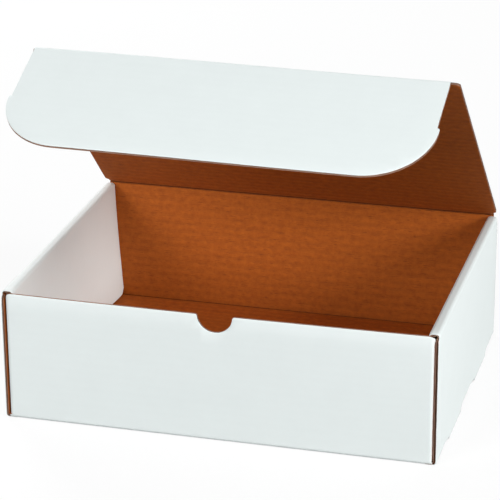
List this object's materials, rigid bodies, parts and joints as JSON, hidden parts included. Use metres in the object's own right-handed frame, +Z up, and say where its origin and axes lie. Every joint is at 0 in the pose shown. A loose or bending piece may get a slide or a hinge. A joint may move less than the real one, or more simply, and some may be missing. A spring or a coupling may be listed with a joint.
{
  "type": "corrugated mailer box",
  "caption": "One-piece corrugated mailer: a tray with rolled double side walls, a hinged lid and an eared tuck flap that slides behind the notched front wall.",
  "frame": {"origin": "centre of the bottom panel's outer face, on the surface the box stands on", "axes": "+X to the right along the hinge, +Y from the notched front wall to the hinge side, +Z up"},
  "size_m": [0.3078, 0.2536, 0.2505],
  "materials": {
    "white_faced_board": "matte"
  },
  "bodies": {
    "tray": {"tray": "white_faced_board"},
    "lid": {"lid": "white_faced_board"},
    "tuck_flap": {"tuck_flap": "white_faced_board"}
  },
  "joints": [
    {"name": "lid_hinge", "type": "hinge", "parent": "tray", "child": "lid", "pos_m": [0, 0.1143, 0.097], "axis": [-1, 0, 0], "range_deg": [-39.4, 137.6]},
    {"name": "tuck_flap_fold", "type": "hinge", "parent": "lid", "child": "tuck_flap", "pos_m": [0, -0.05244, 0.24926], "axis": [1, 0, 0], "range_deg": [-67.2, 25.8]}
  ]
}
